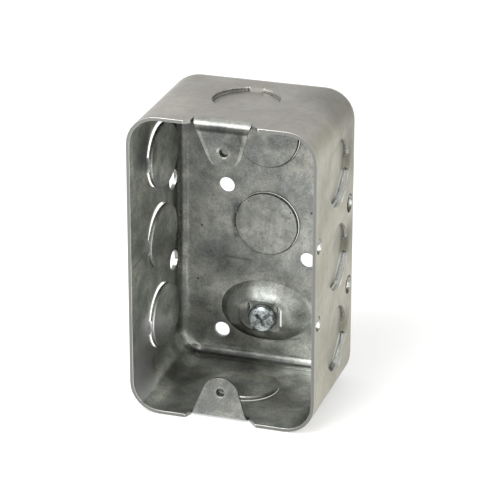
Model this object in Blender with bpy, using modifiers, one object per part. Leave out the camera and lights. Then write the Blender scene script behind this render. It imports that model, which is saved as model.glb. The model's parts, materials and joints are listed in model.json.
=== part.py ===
"""Drawn steel handy box: open sheet shell with folded device ears, tied knockouts and a ground boss.

Metres, +Z up along the length of the box. The open front faces -Y, the back faces +Y.
The origin is the middle of the bottom end, on the plane that the box stands on.
"""
import math

import bmesh
import bpy
from mathutils import Matrix, Vector

# Overall size of the drawn box
LENGTH = 0.1032
WIDTH = 0.0628
DEPTH = 0.0480
SHEET = 0.0012
CORNER_RADIUS = 0.0102
BEND_RADIUS = 0.0050

# Device ears
DEVICE_SCREW_SPACING = 0.08334
EAR_HALF_WIDTH = 0.0096
EAR_BEYOND_HOLE = 0.0052
EAR_TIP_RADIUS = 0.0061
EAR_TIP_ARC_END = math.radians(84)
EAR_SETBACK = 0.0017
EAR_BEND_RADIUS = 0.0030
EAR_MARGIN = 0.0016
EAR_MARGIN_DROP = 0.0003
EAR_TEAR = 0.0003
EAR_HOLE_DIAMETER = 0.0030
EAR_COLLAR_WALL = 0.0009
EAR_COLLAR_HEIGHT = 0.0013
TOP_EAR_OFFSET = 0.0005
BOTTOM_EAR_OFFSET = -0.0008

# How far the fold of each ear lies beside its tip, and the notches at its left and right side: how wide
# each is at the rim and how deep, before it runs on as a narrow tear to the end of the bend
TOP_EAR_SKEW = -0.0009
TOP_EAR_NOTCHES = ((0.0023, 0.0015), (0.0030, 0.0025))
BOTTOM_EAR_SKEW = -0.0008
BOTTOM_EAR_NOTCHES = ((0.0013, 0.0028), (0.0036, 0.0040))

# Knockouts, half-inch trade size
KNOCKOUT_DIAMETER = 0.0222
KNOCKOUT_SHEAR_GAP = 0.00008
LEFT_KNOCKOUT_SETBACK = 0.0270
LEFT_KNOCKOUT_PITCH = 0.0287
LEFT_KNOCKOUT_RISE = 0.0
RIGHT_KNOCKOUT_SETBACK = 0.0255
RIGHT_KNOCKOUT_PITCH = 0.0290
RIGHT_KNOCKOUT_RISE = 0.0008
END_KNOCKOUT_SETBACK = 0.0257
END_KNOCKOUT_X = 0.0003
BACK_KNOCKOUT_X = 0.0010
BACK_KNOCKOUT_HEIGHT = 0.0521
BACK_KNOCKOUT_PITCH = 0.0313
SLUG_CHAMFER = 0.0003
TIE_WIDTH = 0.0038
DIMPLE_WIDTH = 0.0056
TIE_REACH = 0.0017
TIE_ROOT = 0.0004
TIE_THICKNESS_SHARE = 0.94

# How far each slug is pushed inwards at its tie, in the side walls from the top one to the bottom one
LEFT_SLUG_LIFTS = (0.0017, 0.0012, 0.0016)
RIGHT_SLUG_LIFTS = (0.0014, 0.0014, 0.0014)
BACK_SLUG_LIFT = 0.0009
TOP_SLUG_LIFT = 0.0014
BOTTOM_SLUG_LIFT = 0.0013

# In degrees, how far the far side of each slug leans further in (tilt) and one of its flanks does (roll)
LEFT_SLUG_LEANS = ((3.6, 0.0), (3.6, -2.4), (3.6, 0.6))
RIGHT_SLUG_LEANS = ((1.5, 2.4), (1.0, 2.0), (1.0, 2.2))
BACK_SLUG_LEAN = (1.6, 0.0)
TOP_SLUG_LEAN = (1.2, 0.0)
BOTTOM_SLUG_LEAN = (0.8, 0.0)

# Mounting holes
LEFT_HOLE_DIAMETER = 0.0071
LEFT_HOLE_SETBACK = 0.0409
LEFT_HOLE_PITCH = 0.0293
RIGHT_HOLE_DIAMETER = 0.0064
RIGHT_HOLE_SETBACK = 0.0390
RIGHT_HOLE_PITCH = 0.0289
RIM_HOLE_DIAMETER = 0.0052
RIM_HOLE_SETBACK = 0.0034
RIM_HOLE_PITCH = 0.0266
BACK_HOLE_DIAMETER = 0.0054
BACK_HOLES = ((-0.0132, 0.0641), (-0.0150, 0.0109), (0.0151, 0.0403))

# Ground boss, raised inwards from the back
BOSS_X = 0.0000
BOSS_HEIGHT_ON_BACK = 0.0201
BOSS_RAISE = 0.0048
BOSS_HALF_HEIGHT = 0.0104
BOSS_LEFT_REACH = 0.0148
BOSS_RIGHT_REACH = 0.0176
CROWN_HALF_HEIGHT = 0.0050
CROWN_LEFT_REACH = 0.0066
CROWN_RIGHT_REACH = 0.0074
CROWN_SQUARENESS = 3.0
CREASED_FLANK = 0.80
SLIT_WIDTH = 0.0008
SLIT_LENGTH = 0.0065
SLIT_FROM_SCREW = 0.0062
WIRE_STOP_WIDTH = 0.0010
WIRE_STOP_LENGTH = 0.0026
WIRE_STOP_SPACING = 0.0101
WIRE_STOP_RISE = 0.0034

# Ground screw
SCREW_X = 0.0010
SCREW_HEIGHT_ON_BACK = 0.0197
SCREW_DIAMETER = 0.0047
SCREW_HEAD_DIAMETER = 0.0095
SCREW_HEAD_HEIGHT = 0.0023
SCREW_HEAD_SIDE = 0.0012
SCREW_CROWN_FLAT_SHARE = 0.55
SCREW_END_CHAMFER = 0.0005
SCREW_SLOT_WIDTH = 0.0014
SCREW_SLOT_DEPTH = 0.0011
SCREW_CROSS_LENGTH = 0.0048
SCREW_CROSS_DEPTH = 0.0015
SCREW_TURN = math.radians(38)
SCREW_END_SETBACK = 0.0015
SEAT_GAP = 0.0003
THREAD_GAP = 0.0003

# Facets of round shapes
CORNER_SEGMENTS = 8
BEND_SEGMENTS = 4
EAR_BEND_SEGMENTS = 5
EAR_TIP_SEGMENTS = 7
KNOCKOUT_SEGMENTS = 48
HOLE_SEGMENTS = 24
BOSS_SEGMENTS = 48
BOSS_RINGS = 7
TIE_ROWS = 5
TIE_COLUMNS = 6
SCREW_SEGMENTS = 36
SCREW_CROWN_SEGMENTS = 6
SMOOTH_ANGLE = math.radians(32)

FRONT = -DEPTH / 2
BACK = DEPTH / 2
MIDDLE = LENGTH / 2
INNER_BACK = BACK - SHEET
CUT_MARGIN = 0.0010

INTO_BOX = {
    "left": Vector((1, 0, 0)),
    "right": Vector((-1, 0, 0)),
    "bottom": Vector((0, 0, 1)),
    "top": Vector((0, 0, -1)),
    "back": Vector((0, -1, 0)),
}
FORWARD = Vector((0, -1, 0))
REARWARD = Vector((0, 1, 0))
UPWARD = Vector((0, 0, 1))
LEFTWARD = Vector((-1, 0, 0))


def clear_scene():
    for item in list(bpy.context.scene.objects):
        bpy.data.objects.remove(item, do_unlink=True)


def new_collection(name):
    collection = bpy.data.collections.new(name)
    bpy.context.scene.collection.children.link(collection)
    return collection


def metal(name, colour, roughness):
    material = bpy.data.materials.new(name)
    material.use_nodes = True
    shader = material.node_tree.nodes["Principled BSDF"]
    shader.inputs["Base Color"].default_value = (*colour, 1.0)
    shader.inputs["Roughness"].default_value = roughness
    shader.inputs["Metallic"].default_value = 1.0
    return material


def add_mesh(name, bm, collection):
    mesh = bpy.data.meshes.new(name)
    bm.to_mesh(mesh)
    bm.free()
    item = bpy.data.objects.new(name, mesh)
    collection.objects.link(item)
    return item


def add_tool_mesh(name, bm, collection):
    """A cutter, or a form that is joined to the sheet, kept out of the render."""
    item = add_mesh(name, bm, collection)
    item.hide_render = True
    item.display_type = "WIRE"
    return item


def boolean(item, operation, collection, name):
    modifier = item.modifiers.new(name, "BOOLEAN")
    modifier.operation = operation
    modifier.solver = "EXACT"
    modifier.operand_type = "COLLECTION"
    modifier.collection = collection


def frame_of(normal, along):
    """Rotation whose Z is the normal and whose X points along."""
    side = normal.cross(along)
    return Matrix((along, side, normal)).transposed().to_4x4()


def split_wall(bm, faces, point, normal):
    """Split a wall's faces along a plane and return the wall's faces."""
    edges = {edge for face in faces for edge in face.edges}
    verts = {vert for face in faces for vert in face.verts}
    direction = faces[0].normal.copy()
    bmesh.ops.bisect_plane(bm, geom=[*faces, *edges, *verts], dist=1e-7, plane_co=point, plane_no=normal)
    height = point.dot(direction)
    return [
        face for face in bm.faces
        if face.normal.dot(direction) > 0.999
        and abs(face.calc_center_median().dot(direction) - height) < 1e-6
    ]


def nearest_vert(bm, point):
    return min(bm.verts, key=lambda vert: (vert.co - point).length_squared)


def ear_rows():
    """Rows of the ear as (depth behind the rim, drop from the end wall, half width, share of the skew)."""
    hole_drop = (LENGTH - DEVICE_SCREW_SPACING) / 2
    tip_drop = hole_drop + EAR_BEYOND_HOLE - EAR_TIP_RADIUS
    slant = math.hypot(EAR_HALF_WIDTH, tip_drop)
    tangent = math.acos(EAR_TIP_RADIUS / slant) - math.atan2(tip_drop, EAR_HALF_WIDTH)
    tangent_drop = tip_drop + EAR_TIP_RADIUS * math.sin(tangent)
    tangent_width = EAR_TIP_RADIUS * math.cos(tangent)
    rows = []
    for step in range(1, EAR_BEND_SEGMENTS + 1):
        angle = math.pi / 2 * step / EAR_BEND_SEGMENTS
        drop = EAR_BEND_RADIUS * (1 - math.cos(angle))
        depth = EAR_SETBACK + EAR_BEND_RADIUS * (1 - math.sin(angle))
        share = drop / tangent_drop
        rows.append((depth, drop, EAR_HALF_WIDTH + (tangent_width - EAR_HALF_WIDTH) * share, 1 - share))
    for step in range(EAR_TIP_SEGMENTS + 1):
        angle = tangent + (EAR_TIP_ARC_END - tangent) * step / EAR_TIP_SEGMENTS
        drop = tip_drop + EAR_TIP_RADIUS * math.sin(angle)
        rows.append((EAR_SETBACK, drop, EAR_TIP_RADIUS * math.cos(angle), 0.0))
    return rows


def add_ear(bm, end, offset, skew, notches):
    """Open the end wall behind the rim and continue its skin round a bend into a device ear."""
    wall_height = LENGTH if end > 0 else 0.0
    bend_line = FRONT + EAR_SETBACK + EAR_BEND_RADIUS
    middle = offset + skew
    wall = [face for face in bm.faces if face.normal.z * end > 0.999]
    columns = [-EAR_HALF_WIDTH, EAR_MARGIN - EAR_HALF_WIDTH, 0.0, EAR_HALF_WIDTH - EAR_MARGIN, EAR_HALF_WIDTH]
    left_end = -EAR_HALF_WIDTH - notches[0][0]
    right_end = EAR_HALF_WIDTH + notches[1][0]
    for x in (left_end, *columns, right_end):
        wall = split_wall(bm, wall, Vector((middle + x, 0, wall_height)), Vector((1, 0, 0)))
    wall = split_wall(bm, wall, Vector((0, bend_line, wall_height)), Vector((0, 1, 0)))
    opened = [
        face for face in wall
        if left_end < face.calc_center_median().x - middle < right_end
        and face.calc_center_median().y < bend_line
    ]
    bmesh.ops.delete(bm, geom=opened, context="FACES")
    for side, outer, notch in ((-1, left_end, notches[0]), (1, right_end, notches[1])):
        notch_end = Vector((middle + side * (EAR_HALF_WIDTH + EAR_TEAR), FRONT + notch[1], wall_height))
        bm.faces.new([
            nearest_vert(bm, Vector((middle + outer, FRONT, wall_height))),
            nearest_vert(bm, Vector((middle + outer, bend_line, wall_height))),
            nearest_vert(bm, Vector((middle + side * EAR_HALF_WIDTH, bend_line, wall_height))),
            bm.verts.new(notch_end),
        ])
    previous = [nearest_vert(bm, Vector((middle + x, bend_line, wall_height))) for x in columns]
    for depth, drop, half_width, skewed in ear_rows():
        narrowing = half_width / EAR_HALF_WIDTH
        margin = EAR_MARGIN * narrowing
        rolled = EAR_MARGIN_DROP * min(drop / EAR_BEND_RADIUS, 1.0) * narrowing ** 3
        row = [
            bm.verts.new((offset + skew * skewed + x, FRONT + depth + back, wall_height - end * drop))
            for x, back in (
                (-half_width, rolled),
                (margin - half_width, 0.0),
                (0.0, 0.0),
                (half_width - margin, 0.0),
                (half_width, rolled),
            )
        ]
        for index in range(len(row) - 1):
            bm.faces.new((previous[index], previous[index + 1], row[index + 1], row[index]))
        previous = row


def half_ellipses(left, right, half_height, squareness, angle):
    """Point of an outline made of two half ellipses of one height, squared up by an exponent above 2."""
    cosine = math.cos(angle)
    sine = math.sin(angle)
    reach = right if cosine > 0 else left
    across = math.copysign(abs(cosine) ** (2 / squareness), cosine)
    along = math.copysign(abs(sine) ** (2 / squareness), sine)
    return reach * across, half_height * along


def boss_rise(share, angle):
    """Rise of the boss's flank, as a share of its full height.

    The flank leaves the back at a crease, except towards +X, where it fades into the back.
    """
    creased = CREASED_FLANK * share + (1 - CREASED_FLANK) * math.sin(share * math.pi / 2)
    faded = share * share * (3 - 2 * share)
    fade = max(math.cos(angle), 0.0) ** 2
    return creased + (faded - creased) * fade


def boss_ring(share):
    """Ring of the boss between its foot (share 0) and its flat crown (share 1)."""
    points = []
    for index in range(BOSS_SEGMENTS):
        angle = 2 * math.pi * index / BOSS_SEGMENTS
        raised = BOSS_RAISE * boss_rise(share, angle)
        foot = half_ellipses(BOSS_LEFT_REACH, BOSS_RIGHT_REACH, BOSS_HALF_HEIGHT, 2, angle)
        crown = half_ellipses(CROWN_LEFT_REACH, CROWN_RIGHT_REACH, CROWN_HALF_HEIGHT, CROWN_SQUARENESS, angle)
        x = BOSS_X + foot[0] + (crown[0] - foot[0]) * share
        z = BOSS_HEIGHT_ON_BACK + foot[1] + (crown[1] - foot[1]) * share
        points.append(Vector((x, BACK - raised, z)))
    return points


def add_boss(bm):
    """Replace the flat back by one with the ground boss pressed into it."""
    flat_back = max(bm.faces, key=lambda face: face.normal.y * face.calc_area())
    border = list(flat_back.edges)
    bmesh.ops.delete(bm, geom=[flat_back], context="FACES_ONLY")
    rings = []
    for step in range(BOSS_RINGS + 1):
        rings.append([bm.verts.new(point) for point in boss_ring(step / BOSS_RINGS)])
    foot = rings[0]
    foot_edges = [bm.edges.new((foot[index - 1], foot[index])) for index in range(BOSS_SEGMENTS)]
    bmesh.ops.triangle_fill(bm, use_beauty=True, edges=border + foot_edges, normal=(0, 1, 0))
    for lower, upper in zip(rings, rings[1:]):
        for index in range(BOSS_SEGMENTS):
            bm.faces.new((lower[index - 1], lower[index], upper[index], upper[index - 1]))
    bm.faces.new(rings[-1])


def sheet_skin():
    """The outer skin of the sheet as one open surface."""
    bm = bmesh.new()
    bmesh.ops.create_cube(bm, size=1.0)
    bmesh.ops.scale(bm, vec=(WIDTH, DEPTH, LENGTH), verts=bm.verts)
    bmesh.ops.translate(bm, vec=(0, 0, MIDDLE), verts=bm.verts)
    front = [face for face in bm.faces if face.normal.y < -0.9]
    bmesh.ops.delete(bm, geom=front, context="FACES_ONLY")
    long_edges = [edge for edge in bm.edges if abs(edge.verts[0].co.y - edge.verts[1].co.y) > DEPTH / 2]
    bmesh.ops.bevel(
        bm, geom=long_edges, offset=CORNER_RADIUS, segments=CORNER_SEGMENTS, profile=0.5, affect="EDGES"
    )
    back_edges = [edge for edge in bm.edges if all(vert.co.y > BACK - 1e-6 for vert in edge.verts)]
    bmesh.ops.bevel(
        bm, geom=back_edges, offset=BEND_RADIUS, segments=BEND_SEGMENTS, profile=0.5, affect="EDGES"
    )
    bm.normal_update()
    add_ear(bm, 1, TOP_EAR_OFFSET, TOP_EAR_SKEW, TOP_EAR_NOTCHES)
    bm.normal_update()
    add_ear(bm, -1, BOTTOM_EAR_OFFSET, BOTTOM_EAR_SKEW, BOTTOM_EAR_NOTCHES)
    bm.normal_update()
    add_boss(bm)
    bmesh.ops.recalc_face_normals(bm, faces=bm.faces)
    rearmost = max(bm.faces, key=lambda face: face.calc_center_median().y)
    if rearmost.normal.y < 0:
        bmesh.ops.reverse_faces(bm, faces=bm.faces)
    bmesh.ops.triangulate(bm, faces=bm.faces)
    return bm


def add_round(name, centre, normal, along, radius, low, high, segments, collection):
    """Round bar along the normal, from low to high of the centre."""
    bm = bmesh.new()
    bmesh.ops.create_cone(
        bm, cap_ends=True, segments=segments, radius1=radius, radius2=radius, depth=high - low
    )
    bmesh.ops.translate(bm, vec=(0, 0, (low + high) / 2), verts=bm.verts)
    bmesh.ops.transform(bm, matrix=Matrix.Translation(centre) @ frame_of(normal, along), verts=bm.verts)
    return add_tool_mesh(name, bm, collection)


def add_knockout(name, centre, wall, tie_way, lift, lean, cutters, slugs):
    """A round hole in a wall, with its slug pushed inwards and still tied at one side.

    The centre lies on the outer face. Lean is the slug's tilt and roll as named at the top.
    """
    tilt, roll = (math.radians(angle) for angle in lean)
    inward = INTO_BOX[wall]
    radius = KNOCKOUT_DIAMETER / 2
    add_round(
        name + "_hole", centre, inward, tie_way, radius, -CUT_MARGIN, SHEET + CUT_MARGIN,
        KNOCKOUT_SEGMENTS, cutters,
    )
    place = Matrix.Translation(centre) @ frame_of(inward, tie_way)
    slug_radius = radius - KNOCKOUT_SHEAR_GAP
    turn = Matrix.Rotation(roll, 3, "X") @ Matrix.Rotation(tilt, 3, "Y")
    bm = bmesh.new()
    bmesh.ops.create_cone(
        bm, cap_ends=True, segments=KNOCKOUT_SEGMENTS, radius1=slug_radius, radius2=slug_radius, depth=SHEET
    )
    inner_rim = [edge for edge in bm.edges if all(vert.co.z > 0 for vert in edge.verts)]
    bmesh.ops.bevel(bm, geom=inner_rim, offset=SLUG_CHAMFER, segments=1, affect="EDGES")
    bmesh.ops.translate(bm, vec=(-slug_radius, 0, SHEET / 2), verts=bm.verts)
    bmesh.ops.rotate(bm, cent=(0, 0, 0), matrix=turn, verts=bm.verts)
    bmesh.ops.translate(bm, vec=(slug_radius, 0, lift), verts=bm.verts)
    bmesh.ops.transform(bm, matrix=place, verts=bm.verts)
    add_tool_mesh(name + "_slug", bm, slugs)
    add_tie(name, place, lift, turn, cutters, slugs)


def add_tie(name, place, lift, turn, cutters, slugs):
    """The uncut bridge of a knockout: sheet that dips from the wall down to the slug.

    Outside the circle it is a dimple whose flanks run out into the wall. Inside it is a strip with cut sides.
    """
    radius = KNOCKOUT_DIAMETER / 2
    bm = bmesh.new()
    bmesh.ops.create_cube(bm, size=1.0)
    bmesh.ops.scale(bm, vec=(2 * TIE_REACH, DIMPLE_WIDTH, SHEET + 2 * CUT_MARGIN), verts=bm.verts)
    bmesh.ops.translate(bm, vec=(radius, 0, SHEET / 2), verts=bm.verts)
    bmesh.ops.transform(bm, matrix=place, verts=bm.verts)
    add_tool_mesh(name + "_tie_room", bm, cutters)

    wall_half = DIMPLE_WIDTH / 2 + TIE_ROOT
    slug_end = turn @ Vector((-TIE_REACH - TIE_ROOT, 0, 0))
    stations = [(radius + TIE_REACH + TIE_ROOT, 0.0, wall_half, 0.0)]
    for step in range(TIE_ROWS + 1):
        share = step / TIE_ROWS
        dip = share * share * (3 - 2 * share) * (lift + slug_end.z)
        inside = min(max(2 * TIE_ROWS * (share - 0.5), 0.0), 1.0)
        half_width = wall_half + (TIE_WIDTH / 2 - wall_half) * inside
        stations.append((radius + TIE_REACH * (1 - 2 * share), dip, half_width, inside))
    stations.append((radius + slug_end.x, lift + slug_end.z, TIE_WIDTH / 2, 1.0))

    bm = bmesh.new()
    rows = []
    for x, dip, half_width, inside in stations:
        row = []
        for level, order in ((-1, 1), (1, -1)):
            for column in range(TIE_COLUMNS + 1):
                across = order * (2 * column / TIE_COLUMNS - 1)
                run_out = math.cos(math.pi / 2 * across) ** 2
                sunk = dip * (run_out + (1 - run_out) * inside)
                skin = level * TIE_THICKNESS_SHARE * SHEET / 2
                row.append(bm.verts.new((x, across * half_width, SHEET / 2 + sunk + skin)))
        rows.append(row)
    for near, far in zip(rows, rows[1:]):
        for index in range(len(near)):
            bm.faces.new((near[index - 1], near[index], far[index], far[index - 1]))
    bm.faces.new(rows[0])
    bm.faces.new(rows[-1])
    bmesh.ops.recalc_face_normals(bm, faces=bm.faces)
    bmesh.ops.triangulate(bm, faces=bm.faces)
    bmesh.ops.transform(bm, matrix=place, verts=bm.verts)
    add_tool_mesh(name + "_tie", bm, slugs)


def add_knockouts(cutters, slugs):
    left_middle = Vector((-WIDTH / 2, FRONT + LEFT_KNOCKOUT_SETBACK, MIDDLE + LEFT_KNOCKOUT_RISE))
    right_middle = Vector((WIDTH / 2, FRONT + RIGHT_KNOCKOUT_SETBACK, MIDDLE + RIGHT_KNOCKOUT_RISE))
    for wall, middle, pitch, tie_way, lifts, leans in (
        ("left", left_middle, LEFT_KNOCKOUT_PITCH, FORWARD, LEFT_SLUG_LIFTS, LEFT_SLUG_LEANS),
        ("right", right_middle, RIGHT_KNOCKOUT_PITCH, REARWARD, RIGHT_SLUG_LIFTS, RIGHT_SLUG_LEANS),
    ):
        for row, lift, lean in zip((1, 0, -1), lifts, leans):
            centre = middle + row * pitch * UPWARD
            add_knockout(f"{wall}_knockout_{row + 2}", centre, wall, tie_way, lift, lean, cutters, slugs)
    end_y = FRONT + END_KNOCKOUT_SETBACK
    for wall, z, lift, lean in (
        ("top", LENGTH, TOP_SLUG_LIFT, TOP_SLUG_LEAN), ("bottom", 0.0, BOTTOM_SLUG_LIFT, BOTTOM_SLUG_LEAN)
    ):
        centre = Vector((END_KNOCKOUT_X, end_y, z))
        add_knockout(f"{wall}_knockout", centre, wall, REARWARD, lift, lean, cutters, slugs)
    for row in (0, 1):
        centre = Vector((BACK_KNOCKOUT_X, BACK, BACK_KNOCKOUT_HEIGHT + row * BACK_KNOCKOUT_PITCH))
        name = f"back_knockout_{row + 1}"
        add_knockout(name, centre, "back", LEFTWARD, BACK_SLUG_LIFT, BACK_SLUG_LEAN, cutters, slugs)


def add_side_holes(name, wall, x, setback, pitch, diameter, cutters):
    """Two round holes in a side wall, one above and one below the middle of the box."""
    for row, level in ((-1, "lower"), (1, "upper")):
        centre = Vector((x, FRONT + setback, MIDDLE + row * pitch / 2))
        add_round(
            f"{name}_{level}", centre, INTO_BOX[wall], UPWARD, diameter / 2, -CUT_MARGIN,
            SHEET + CUT_MARGIN, HOLE_SEGMENTS, cutters,
        )


def add_mounting_holes(cutters):
    add_side_holes(
        "left_hole", "left", -WIDTH / 2, LEFT_HOLE_SETBACK, LEFT_HOLE_PITCH, LEFT_HOLE_DIAMETER, cutters
    )
    add_side_holes(
        "right_hole", "right", WIDTH / 2, RIGHT_HOLE_SETBACK, RIGHT_HOLE_PITCH, RIGHT_HOLE_DIAMETER, cutters
    )
    add_side_holes(
        "rim_hole", "right", WIDTH / 2, RIM_HOLE_SETBACK, RIM_HOLE_PITCH, RIM_HOLE_DIAMETER, cutters
    )
    for number, (x, z) in enumerate(BACK_HOLES, 1):
        add_round(
            f"back_hole_{number}", Vector((x, BACK, z)), INTO_BOX["back"], UPWARD, BACK_HOLE_DIAMETER / 2,
            -CUT_MARGIN, SHEET + CUT_MARGIN, HOLE_SEGMENTS, cutters,
        )


def ear_hole_centre(end):
    """Centre of an ear's tapped hole, on the front face of the ear."""
    offset = TOP_EAR_OFFSET if end > 0 else BOTTOM_EAR_OFFSET
    return Vector((offset, FRONT + EAR_SETBACK, MIDDLE + end * DEVICE_SCREW_SPACING / 2))


def add_ear_holes(cutters, collars):
    """The tapped holes, each with the collar that its punch draws behind the ear."""
    radius = EAR_HOLE_DIAMETER / 2
    for end, name in ((-1, "bottom_ear"), (1, "top_ear")):
        centre = ear_hole_centre(end)
        add_round(
            name + "_collar", centre, REARWARD, UPWARD, radius + EAR_COLLAR_WALL, SHEET / 2,
            SHEET + EAR_COLLAR_HEIGHT, HOLE_SEGMENTS, collars,
        )
        add_round(
            name + "_hole", centre, REARWARD, UPWARD, radius, -CUT_MARGIN,
            SHEET + EAR_COLLAR_HEIGHT + CUT_MARGIN, HOLE_SEGMENTS, cutters,
        )


def add_boss_details(cutters, stops):
    """The screw's hole, the lanced slit beside it, and the two wire stops above it."""
    crown = BACK - BOSS_RAISE
    seat = Vector((SCREW_X, crown, SCREW_HEIGHT_ON_BACK))
    add_round(
        "screw_hole", seat, FORWARD, UPWARD, SCREW_DIAMETER / 2 + THREAD_GAP, -CUT_MARGIN,
        SHEET + CUT_MARGIN, HOLE_SEGMENTS, cutters,
    )
    bm = bmesh.new()
    bmesh.ops.create_cube(bm, size=1.0)
    bmesh.ops.scale(bm, vec=(SLIT_WIDTH, BOSS_RAISE + SHEET, SLIT_LENGTH), verts=bm.verts)
    bmesh.ops.translate(bm, vec=seat + Vector((SLIT_FROM_SCREW, 0, 0)), verts=bm.verts)
    add_tool_mesh("slit", bm, cutters)
    for side, name in ((-1, "left"), (1, "right")):
        bm = bmesh.new()
        bmesh.ops.create_uvsphere(bm, u_segments=12, v_segments=8, radius=0.5)
        bmesh.ops.scale(
            bm, vec=(WIRE_STOP_WIDTH, 2 * WIRE_STOP_WIDTH, WIRE_STOP_LENGTH), verts=bm.verts
        )
        offset = Vector((side * WIRE_STOP_SPACING / 2, -SHEET, WIRE_STOP_RISE))
        bmesh.ops.translate(bm, vec=seat + offset, verts=bm.verts)
        add_tool_mesh(name + "_wire_stop", bm, stops)


def build_box(parts, tools, material):
    box = add_mesh("box_body", sheet_skin(), parts)
    box.data.materials.append(material)
    solidify = box.modifiers.new("sheet", "SOLIDIFY")
    solidify.thickness = SHEET
    solidify.offset = -1.0
    solidify.use_even_offset = True
    joined = bpy.data.collections.new("joined_forms")
    sheared = bpy.data.collections.new("sheared_circles")
    slugs = bpy.data.collections.new("tied_slugs")
    punched = bpy.data.collections.new("punched_holes")
    for collection in (joined, sheared, slugs, punched):
        tools.children.link(collection)
    add_ear_holes(punched, joined)
    add_boss_details(punched, joined)
    add_mounting_holes(punched)
    add_knockouts(sheared, slugs)
    boolean(box, "UNION", joined, "formed collars and stops")
    boolean(box, "DIFFERENCE", sheared, "sheared circles")
    boolean(box, "UNION", slugs, "tied slugs")
    boolean(box, "DIFFERENCE", punched, "punched holes")
    return box


def screw_profile():
    """Half section of the ground screw, from the head's top to the end, as (radius, height)."""
    head = SCREW_HEAD_DIAMETER / 2
    shank = SCREW_DIAMETER / 2
    dome = SCREW_HEAD_HEIGHT - SCREW_HEAD_SIDE
    length = SEAT_GAP + SHEET + BOSS_RAISE - SCREW_END_SETBACK
    flat = SCREW_CROWN_FLAT_SHARE * head
    points = [(0.0, SCREW_HEAD_HEIGHT)]
    for step in range(1, SCREW_CROWN_SEGMENTS + 1):
        angle = math.pi / 2 * step / SCREW_CROWN_SEGMENTS
        radius = flat + (head - flat) * math.sin(angle)
        points.append((radius, SCREW_HEAD_SIDE + dome * math.cos(angle)))
    points.append((head, 0.0))
    points.append((shank, 0.0))
    points.append((shank, SCREW_END_CHAMFER - length))
    points.append((shank - SCREW_END_CHAMFER, -length))
    points.append((0.0, -length))
    return points


def build_screw(parts, tools, material):
    bm = bmesh.new()
    verts = [bm.verts.new((radius, 0, height)) for radius, height in screw_profile()]
    for index in range(len(verts) - 1):
        bm.edges.new((verts[index], verts[index + 1]))
    screw = add_mesh("ground_screw", bm, parts)
    screw.data.materials.append(material)
    turn = screw.modifiers.new("turned", "SCREW")
    turn.steps = SCREW_SEGMENTS
    turn.render_steps = SCREW_SEGMENTS
    turn.use_merge_vertices = True
    turn.merge_threshold = 0.00001
    recess = bpy.data.collections.new("screw_recess")
    tools.children.link(recess)
    crown = BACK - BOSS_RAISE - SHEET
    place = Matrix.Translation((SCREW_X, crown - SEAT_GAP, SCREW_HEIGHT_ON_BACK))
    place = place @ frame_of(FORWARD, Vector((1, 0, 0))) @ Matrix.Rotation(SCREW_TURN, 4, "Z")
    bars = (
        ("slot", SCREW_HEAD_DIAMETER + CUT_MARGIN, SCREW_SLOT_WIDTH, SCREW_SLOT_DEPTH, 0.0),
        ("cross", SCREW_CROSS_LENGTH, SCREW_SLOT_WIDTH, SCREW_CROSS_DEPTH, math.pi / 2),
    )
    for name, length, width, depth, angle in bars:
        cutter = bmesh.new()
        bmesh.ops.create_cube(cutter, size=1.0)
        bmesh.ops.scale(cutter, vec=(length, width, depth + CUT_MARGIN), verts=cutter.verts)
        lifted = SCREW_HEAD_HEIGHT + (CUT_MARGIN - depth) / 2
        bmesh.ops.translate(cutter, vec=(0, 0, lifted), verts=cutter.verts)
        bmesh.ops.transform(cutter, matrix=place @ Matrix.Rotation(angle, 4, "Z"), verts=cutter.verts)
        add_tool_mesh("screw_" + name, cutter, recess)
    boolean(screw, "DIFFERENCE", recess, "driver recess")
    screw.matrix_world = place
    return screw


def main():
    clear_scene()
    parts = new_collection("handy_box")
    tools = new_collection("cutters")
    steel = metal("galvanised_steel", (0.42, 0.42, 0.40), 0.45)
    zinc = metal("zinc_plated_screw", (0.55, 0.58, 0.60), 0.30)
    for item in (build_box(parts, tools, steel), build_screw(parts, tools, zinc)):
        item.data.shade_smooth()
        item.data.set_sharp_from_angle(angle=SMOOTH_ANGLE)


main()
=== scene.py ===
"""Looks of a galvanised steel handy box with its ground screw, on a pale studio floor."""
import json
import math
from types import SimpleNamespace

import bmesh
import bpy
from mathutils import Matrix, Vector

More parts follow.
